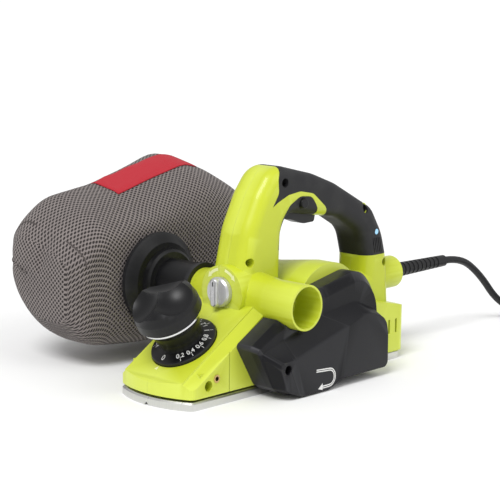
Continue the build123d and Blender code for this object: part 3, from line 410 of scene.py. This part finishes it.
def section_ring(low_y, high_y, low_z, high_z, corner, far_foot):
    """Points around one cross-section, its crown leaning towards the machine."""
    ring = []
    foot = corner * FOOT_SHARE
    # corners, from the lower far one: centre, radius and the angle where the arc starts
    corners = [
        (high_y - far_foot, low_z + far_foot, far_foot, -pi / 2),
        (high_y - corner, high_z - corner, corner, 0),
        (low_y + corner, high_z - corner, corner, pi / 2),
        (low_y + foot, low_z + foot, foot, pi),
    ]
    middle = (low_z + high_z) / 2
    for centre_y, centre_z, radius, start in corners:
        for step in range(CORNER_STEPS + 1):
            angle = start + pi / 2 * step / CORNER_STEPS
            y, z = centre_y + radius * cos(angle), centre_z + radius * sin(angle)
            upper = max(0.0, (z - middle) / (high_z - middle))
            ring.append((y, z - CROWN_LEAN * max(0.0, CROWN_Y - y) * upper ** 2))
    outline = []
    for index in range(4):
        corner_points = ring[index * (CORNER_STEPS + 1):(index + 1) * (CORNER_STEPS + 1)]
        following = ring[((index + 1) % 4) * (CORNER_STEPS + 1)]
        outline += corner_points
        last = corner_points[-1]
        for step in range(1, SIDE_STEPS):
            share = step / SIDE_STEPS
            outline.append((last[0] + (following[0] - last[0]) * share,
                            last[1] + (following[1] - last[1]) * share))
    return outline


def bag_rings():
    """Smoothly changing rings from the front end of the bag to the rear end."""
    at = np.linspace(BAG_SECTIONS[0, 0], BAG_SECTIONS[-1, 0], LONG_STEPS)
    kernel = np.array([1, 2, 1]) / 4
    columns = []
    for given in BAG_SECTIONS.T[1:]:
        column = np.interp(at, BAG_SECTIONS[:, 0], given)
        columns.append(np.convolve(np.pad(column, 1, mode="edge"), kernel, mode="valid"))
    for x, low_y, high_y, low_z, high_z, corner, far_foot in zip(at, *columns):
        yield x, section_ring(low_y + BAG_INSET, high_y - BAG_INSET, low_z + BAG_INSET,
                              high_z - BAG_INSET, corner, far_foot)


def build_bag():
    """Closed lofted shell with a fabric map in metres, which keeps its scale on every panel."""
    mesh = bmesh.new()
    layer = mesh.loops.layers.uv.new("fabric")
    rings = []
    for x, outline in bag_rings():
        rings.append([mesh.verts.new((x, y, z)) for y, z in outline])
    count = len(rings[0])

    def around(ring):
        lengths = [0.0]
        for first, second in zip(ring, ring[1:] + ring[:1]):
            lengths.append(lengths[-1] + (second.co - first.co).length)
        return [length - lengths[-1] / 2 for length in lengths]

    along = 0.0
    for near, far in zip(rings, rings[1:]):
        near_u, far_u = around(near), around(far)
        step = far[0].co.x - near[0].co.x
        for index in range(count):
            after = (index + 1) % count
            face = mesh.faces.new((near[index], near[after], far[after], far[index]))
            corners = ((near_u[index], along), (near_u[index + 1], along),
                       (far_u[index + 1], along + step), (far_u[index], along + step))
            for loop, corner in zip(face.loops, corners):
                loop[layer].uv = corner
        along += step
    for ring, side in ((rings[0], -1), (rings[-1], 1)):
        centre = sum((vertex.co for vertex in ring), Vector()) / count
        outer = ring
        for step in range(1, CAP_STEPS + 1):
            share = 1 - step / CAP_STEPS
            if step == CAP_STEPS:
                inner = [mesh.verts.new(centre)] * count
            else:
                inner = [mesh.verts.new(centre + (vertex.co - centre) * share) for vertex in ring]
            for index in range(count):
                after = (index + 1) % count
                corners = [outer[index], outer[after], inner[after], inner[index]]
                if step == CAP_STEPS:
                    corners = corners[:3]
                if side > 0:
                    corners.reverse()
                face = mesh.faces.new(corners)
                for loop in face.loops:
                    loop[layer].uv = (loop.vert.co.y, loop.vert.co.z)
            outer = inner
    bmesh.ops.recalc_face_normals(mesh, faces=mesh.faces)
    return mesh_piece("dust_bag_fabric", mesh, MATERIALS["bag_cloth"])


def apply_modifiers(piece):
    """Turn a piece's modifiers into its mesh."""
    result = evaluated_mesh(piece)
    piece.modifiers.clear()
    piece.data = result


CLOTH_FRAMES = 20


def fill_with_air(piece, held, most):
    """Cloth simulation that fills the bag, with no point moving further than the most allowed."""
    group = piece.vertex_groups.new(name="held")
    for index, weight in enumerate(held):
        group.add([index], float(weight), "REPLACE")
    start = np.array([vertex.co for vertex in piece.data.vertices])
    cloth = piece.modifiers.new("cloth", "CLOTH")
    cloth.settings.quality = 6
    cloth.settings.mass = 0.25
    cloth.settings.tension_stiffness = 25
    cloth.settings.compression_stiffness = 12
    cloth.settings.bending_stiffness = 1.2
    cloth.settings.use_pressure = True
    cloth.settings.uniform_pressure_force = 5.0
    cloth.settings.vertex_group_mass = "held"
    cloth.settings.effector_weights.gravity = 0.0
    cloth.point_cache.frame_start = 1
    cloth.point_cache.frame_end = CLOTH_FRAMES
    for number in range(1, CLOTH_FRAMES + 1):
        bpy.context.scene.frame_set(number)
    apply_modifiers(piece)
    moved = np.array([vertex.co for vertex in piece.data.vertices]) - start
    length = np.linalg.norm(moved, axis=1)
    moved *= np.minimum(1, most / np.maximum(length, 1e-9))[:, None]
    for vertex, place in zip(piece.data.vertices, start + moved):
        vertex.co = place
    bpy.context.scene.frame_set(1)


NEAR_PANEL = 30 * MM            # depth of the panel that carries the collar
HELD_EDGE = 12 * MM             # width over which the cloth is let go around the collar
PULLED_EDGE = 20 * MM           # width over which the panel is drawn to the collar
PANEL_GAP = 0.5 * MM
MOUTH_R = 26 * MM
SWELL = 3.5 * MM                # furthest that a point of the cloth may move
FABRIC_T = 1.2 * MM


def mouth_reach(vertex):
    """Distance from the axis of the mouth, or a metre for points off the near panel."""
    if vertex.co.y < bag_low.y + NEAR_PANEL:
        return np.hypot(vertex.co.x - DUCT.x, vertex.co.z - DUCT.z)
    return 1.0


bag = build_bag()
reach = np.array([mouth_reach(vertex) for vertex in bag.data.vertices])
fill_with_air(bag, np.clip((COLLAR_R + HELD_EDGE - reach) / HELD_EDGE, 0, 1), SWELL)


def tidy_mouth(piece):
    """Bring the near panel to the collar, and open the mouth behind it."""
    for vertex in piece.data.vertices:
        pull = np.clip((COLLAR_R + PULLED_EDGE - mouth_reach(vertex)) / PULLED_EDGE, 0, 1)
        vertex.co.y += (bag_low.y + PANEL_GAP - vertex.co.y) * pull
    mesh = bmesh.new()
    mesh.from_mesh(piece.data)
    mouth = Vector((DUCT.x, bag_low.y, DUCT.z))
    hole = [face for face in mesh.faces
            if (face.calc_center_median() - mouth).length < MOUTH_R]
    bmesh.ops.delete(mesh, geom=hole, context="FACES")
    mesh.to_mesh(piece.data)
    mesh.free()


tidy_mouth(bag)
finer = bag.modifiers.new("finer", "SUBSURF")
finer.levels = 1
finer.render_levels = 1
thick = bag.modifiers.new("thick", "SOLIDIFY")
thick.thickness = FABRIC_T
thick.offset = -1
apply_modifiers(bag)
shade_smooth(bag)
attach(bag, "bag")
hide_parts("dust_bag")

# Label: a sewn patch that follows the bag's top panel.
LABEL_CORNERS = [
    Vector((x, y, 0)) * MM for x, y in ((-34, 189), (-31, 153), (77, 157), (73, 189))]
LABEL_STEPS = 24
LABEL_T, LABEL_LIFT = 0.9 * MM, 0.7 * MM
ABOVE_BAG = 400 * MM
DOWN = Vector((0, 0, -1))


def build_label():
    """Patch laid over the fabric, lifted clear of it."""
    surface = BVHTree.FromObject(bag, bpy.context.evaluated_depsgraph_get())
    mesh = bmesh.new()
    grid = []
    for row in range(LABEL_STEPS + 1):
        line = []
        for column in range(LABEL_STEPS + 1):
            along, across = row / LABEL_STEPS, column / LABEL_STEPS
            first = LABEL_CORNERS[0].lerp(LABEL_CORNERS[1], across)
            second = LABEL_CORNERS[3].lerp(LABEL_CORNERS[2], across)
            spot = first.lerp(second, along)
            spot.z = ABOVE_BAG
            hit, normal, _, _ = surface.ray_cast(spot, DOWN)
            line.append(mesh.verts.new(hit + normal * LABEL_LIFT))
        grid.append(line)
    for near, far in zip(grid, grid[1:]):
        for index in range(LABEL_STEPS):
            mesh.faces.new((near[index], near[index + 1], far[index + 1], far[index]))
    bmesh.ops.recalc_face_normals(mesh, faces=mesh.faces)
    return mesh_piece("label_patch", mesh, MATERIALS["label_cloth"])


SEAM_RINGS = (2, -3)            # rings of the bag's mesh that the seams follow
SEAM_LOW = 96 * MM              # the seams start this high above the floor
SEAM_SINK, SEAM_R = 0.2 * MM, 0.8 * MM


def build_seams():
    """Stitched seams along the edges of both end panels, sunk a little into the fabric."""
    surface = BVHTree.FromObject(bag, bpy.context.evaluated_depsgraph_get())
    mesh = bmesh.new()
    rings = list(bag_rings())
    for number in SEAM_RINGS:
        x, outline = rings[number]
        path = []
        for y, z in outline:
            if z > SEAM_LOW:
                spot, normal, _, _ = surface.find_nearest(Vector((x, y, z)))
                path.append(spot - normal * SEAM_SINK)
        add_curve_mesh(mesh, nurbs_line("seam", path, SEAM_R, 2))
    return mesh_piece("bag_seams", mesh, MATERIALS["seam"])


seams = build_seams()
shade_smooth(seams)
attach(seams, "bag")

label = build_label()
body = label.modifiers.new("thick", "SOLIDIFY")
body.thickness = LABEL_T
body.offset = 0
apply_modifiers(label)
shade_smooth(label)
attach(label, "bag")
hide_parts("bag_label")


# Thin dark linings in the two screw wells in the handle: painted shade on the well walls.
WELLS = [(15, 181, -19.3), (131, 146, -17.6)]       # x, z and the y where the sleeve starts
LINING_OUT, LINING_IN, LINING_FLOOR = 3.96, 3.7, -11.8
LIP_R, LIP_T, LIP_FOOT = 4.15, 0.25, 0.4
LINING_STEPS = 28


def build_well_shade_linings():
    """Short lathed tubes with a small lip, one in each well, that paint its walls dark as shade.
    """
    mesh = bmesh.new()
    for x, z, start in WELLS:
        profile = [(LIP_R, start), (LIP_R, start + LIP_T), (LINING_OUT, start + LIP_FOOT),
                   (LINING_OUT, LINING_FLOOR), (LINING_IN, LINING_FLOOR), (LINING_IN, start)]
        rings = []
        for radius, y in profile:
            rings.append([
                mesh.verts.new(Vector((x + radius * cos(tau * step / LINING_STEPS), y,
                                       z + radius * sin(tau * step / LINING_STEPS))) * MM)
                for step in range(LINING_STEPS)])
        for near, far in zip(rings, rings[1:] + rings[:1]):
            for step in range(LINING_STEPS):
                after = (step + 1) % LINING_STEPS
                mesh.faces.new((near[step], near[after], far[after], far[step]))
    bmesh.ops.recalc_face_normals(mesh, faces=mesh.faces)
    # Dark grip rubber on the well walls stands for the shade in the wells.
    return mesh_piece("painted_shade_well_linings", mesh, MATERIALS["grip"])


well_shade_linings = build_well_shade_linings()
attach(well_shade_linings, "machine")


# ---------------------------------------------------------------- markings
TILT = radians(32)
DIAL_CENTRE = Vector((-92.5, 0, 49.5)) * MM
DIAL_AXIS = Vector((-sin(TILT), 0, cos(TILT)))
DIAL_ACROSS = Vector((cos(TILT), 0, sin(TILT)))
DIAL_EDGE_R, DIAL_NECK_R, DIAL_RISE = 29.7 * MM, 20.0 * MM, 3.0 * MM
FIRST_ANGLE, STEP_ANGLE = radians(-143), radians(24)
ZERO_ANGLE = radians(-184)                  # the zero stands apart from the other figures
MARK_LIFT = 0.06 * MM           # printed markings stand this far off their surface
STROKE_SPREAD = 0.1 * MM        # how much the strokes of the figures are thickened


def dial_frame(radius, angle):
    """Matrix on the dial's cone: x along the rim, y towards the knob, z out of the surface."""
    outward = cos(angle) * DIAL_ACROSS + sin(angle) * Vector((0, 1, 0))
    run = DIAL_EDGE_R - DIAL_NECK_R
    inward = (DIAL_AXIS * DIAL_RISE - outward * run).normalized()
    normal = (outward * DIAL_RISE + DIAL_AXIS * run).normalized()
    height = DIAL_RISE * (DIAL_EDGE_R - radius) / run
    origin = DIAL_CENTRE + outward * radius + DIAL_AXIS * height + normal * MARK_LIFT
    along = inward.cross(normal)
    return Matrix.Translation(origin) @ Matrix((along, inward, normal)).transposed().to_4x4()


def add_flat(mesh, matrix, points):
    """Thin printed shape from an outline in the matrix's own x and y."""
    mesh.faces.new([mesh.verts.new(matrix @ Vector((x, y, 0))) for x, y in points])


def add_text(mesh, matrix, text, size):
    """Thin printed numeral, centred on the matrix."""
    curve = bpy.data.curves.new("numeral", "FONT")
    curve.body = text
    curve.size = size
    curve.align_x = "CENTER"
    curve.align_y = "CENTER"
    curve.offset = STROKE_SPREAD
    add_curve_mesh(mesh, curve, matrix)


def printed(name, mesh, material, body):
    """Printed marking as a piece that rides on a body."""
    piece = mesh_piece(name, mesh, material)
    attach(piece, body)


def rectangle(half_width, low, high):
    """Outline of an upright rectangle."""
    return [(-half_width, low), (half_width, low), (half_width, high), (-half_width, high)]


ZERO_R, ZERO_SIZE = 25.0 * MM, 7.2 * MM
FIGURE_R, FIGURE_SIZE, TICK_R = 23.5 * MM, 6.2 * MM, 27.4 * MM
FIGURES, DEPTH_STEP = 12, 0.2

scale = bmesh.new()
add_text(scale, dial_frame(ZERO_R, ZERO_ANGLE), "0", ZERO_SIZE)
for step in range(FIGURES):
    angle = FIRST_ANGLE + STEP_ANGLE * step
    value = f"{DEPTH_STEP * (step + 1):.1f}".removesuffix(".0")
    add_text(scale, dial_frame(FIGURE_R, angle), value, FIGURE_SIZE)
    add_flat(scale, dial_frame(TICK_R, angle), rectangle(0.22 * MM, -1.3 * MM, 1.4 * MM))
printed("dial_scale", scale, MARK_WHITE, "knob")

# Index mark for the dial, on the front slope of the housing.
SLOPE_DROP = 2.97 * MM                      # from the dial's top edge down to the slope
INDEX_ANGLE, INDEX_R = radians(-187), 33.5 * MM
index_out = cos(INDEX_ANGLE) * DIAL_ACROSS + sin(INDEX_ANGLE) * Vector((0, 1, 0))
index_origin = DIAL_CENTRE + index_out * INDEX_R + DIAL_AXIS * (MARK_LIFT - SLOPE_DROP)
index_axes = Matrix(((-index_out).cross(DIAL_AXIS), -index_out, DIAL_AXIS)).transposed()
index_frame = Matrix.Translation(index_origin) @ index_axes.to_4x4()
index_mark = bmesh.new()
add_flat(index_mark, index_frame, [
    Vector(corner) * MM for corner in ((-1.9, -2.4), (1.9, -2.4), (0, 2.0))])
printed("index_mark", index_mark, MARK_PALE, "machine")

cover_low, cover_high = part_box("belt_cover")
COVER_FACE = Matrix.Translation((0, cover_low.y - MARK_LIFT, 0)) @ Matrix.Rotation(
    pi / 2, 4, "X")


def add_band(mesh, matrix, line, half_width):
    """Printed band of even width along a line of points."""
    sides = []
    for index, point in enumerate(line):
        before = line[max(index - 1, 0)]
        after = line[min(index + 1, len(line) - 1)]
        along = (Vector(after) - Vector(before)).normalized()
        across = Vector((-along.y, along.x)) * half_width
        sides.append((Vector(point) + across, Vector(point) - across))
    for near, far in zip(sides, sides[1:]):
        add_flat(mesh, matrix, (near[0], near[1], far[1], far[0]))


# Arrow on the cover: a band that turns back on itself, a head, and a dark line in its middle.
TURN = Vector((11.5, 12.5)) * MM            # middle of the arrow's bend
TURN_R = 7.4 * MM
TAIL_X, TAIL_RISE = -6 * MM, 1.2 * MM
ARROW_FOOT = Vector((2.5 * MM, TURN.y - TURN_R))
BAND_HALF, CORE_HALF = 1.35 * MM, 0.32 * MM
bend = [TURN + TURN_R * Vector((cos(angle), sin(angle)))
        for angle in np.linspace(pi / 2, -pi / 2, 13)]
stroke = [Vector((TAIL_X, TURN.y + TURN_R + TAIL_RISE))] + bend + [ARROW_FOOT]
rotation_arrow = bmesh.new()
add_band(rotation_arrow, COVER_FACE, stroke, BAND_HALF)
add_flat(rotation_arrow, COVER_FACE, [
    ARROW_FOOT + Vector(corner) * MM for corner in ((0, 3.6), (-6, -0.8), (0, -2.6))])
printed("rotation_arrow", rotation_arrow, MARK_WHITE, "machine")
arrow_core = bmesh.new()
add_band(arrow_core, Matrix.Translation((0, -MARK_LIFT, 0)) @ COVER_FACE, stroke, CORE_HALF)
printed("arrow_core", arrow_core, MARK_DARK, "machine")

# Two curved arrows over the diverter's knob, and the dark pointer on its ridge.
knob_low, knob_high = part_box("diverter_knob")
SELECTOR = (knob_low + knob_high) / 2
FACING_FRONT = Matrix(((0, 0, -1), (-1, 0, 0), (0, 1, 0))).to_4x4()
BOSS_FACE_X = -48.0 * MM
ARROW_R, ARROW_BAND, HEAD_HALF = 20 * MM, 1.3 * MM, 2.6 * MM
ARROW_SWEEP = (12, 22, 32, 42)              # degrees from the top along each arrow
HEAD_SWEEP = 14
boss_face = Matrix.Translation((BOSS_FACE_X - MARK_LIFT, SELECTOR.y, SELECTOR.z)) @ FACING_FRONT


def on_circle(radius, degrees):
    """Point on a circle, by its angle from the top."""
    return radius * Vector((sin(radians(degrees)), cos(radians(degrees))))


direction_arrows = bmesh.new()
for sign in (-1, 1):
    add_band(direction_arrows, boss_face,
             [on_circle(ARROW_R, sign * degrees) for degrees in ARROW_SWEEP], ARROW_BAND)
    root = sign * ARROW_SWEEP[-1]
    add_flat(direction_arrows, boss_face, [
        on_circle(ARROW_R + HEAD_HALF, root), on_circle(ARROW_R, root + sign * HEAD_SWEEP),
        on_circle(ARROW_R - HEAD_HALF, root)])
printed("direction_arrows", direction_arrows, MARK_PALE, "machine")

ridge_face = Matrix.Translation((knob_low.x - MARK_LIFT, SELECTOR.y, SELECTOR.z)) @ FACING_FRONT
pointer = bmesh.new()
add_flat(pointer, ridge_face, rectangle(0.7 * MM, 6.0 * MM, 10.0 * MM))
printed("ridge_pointer", pointer, MARK_DARK, "diverter")


# ---------------------------------------------------------------- camera, floor and light
CAMERA_AT = (-1.01340, -0.95238, 0.35789)
SENSOR, LENS = 36, 111.73       # millimetres
azimuth, elevation, roll = radians(46.54), radians(9.494), radians(0.514)

camera_data = bpy.data.cameras.new("camera")
camera_data.sensor_width = SENSOR
camera_data.lens = LENS
camera = bpy.data.objects.new("camera", camera_data)
towards = Vector((-sin(azimuth) * cos(elevation), -cos(azimuth) * cos(elevation),
                  sin(elevation)))
level = Vector((cos(azimuth), -sin(azimuth), 0))
upward = towards.cross(level)
right = cos(roll) * level + sin(roll) * upward
top = cos(roll) * upward - sin(roll) * level
camera.matrix_world = Matrix.Translation(CAMERA_AT) @ Matrix(
    (right, top, towards)).transposed().to_4x4()
bpy.context.scene.collection.objects.link(camera)
bpy.context.scene.camera = camera


def sun_light(name, towards_light, strength, softness):
    """Even soft light from one direction."""
    data = bpy.data.lights.new(name, "SUN")
    data.energy = strength
    data.angle = radians(softness)
    lamp = bpy.data.objects.new(name, data)
    lamp.rotation_euler = Vector(towards_light).to_track_quat("Z", "Y").to_euler()
    bpy.context.scene.collection.objects.link(lamp)


sun_light("key", (-1.0, -0.3, 1.4), 1.9, 28)
sun_light("fill", (0.4, -1.2, 0.9), 0.6, 45)
world = bpy.data.worlds.new("studio")
world.use_nodes = True
background = world.node_tree.nodes["Background"]
background.inputs["Color"].default_value = (1, 1, 1, 1)
background.inputs["Strength"].default_value = 0.6
bpy.context.scene.world = world
bpy.context.scene.view_settings.view_transform = "Standard"

FLOOR_HALF = 80                 # metres
floor_mesh = bpy.data.meshes.new("floor")
floor_corners = [
    (x * FLOOR_HALF, y * FLOOR_HALF, 0) for x, y in ((-1, -1), (1, -1), (1, 1), (-1, 1))]
floor_mesh.from_pydata(floor_corners, [], [(0, 1, 2, 3)])
floor_material = start_material("floor_paper", (0.92, 0.92, 0.92), 0.95,
                                Specular_IOR_Level=0.1)[0]
floor = new_piece("floor", floor_mesh, floor_material)
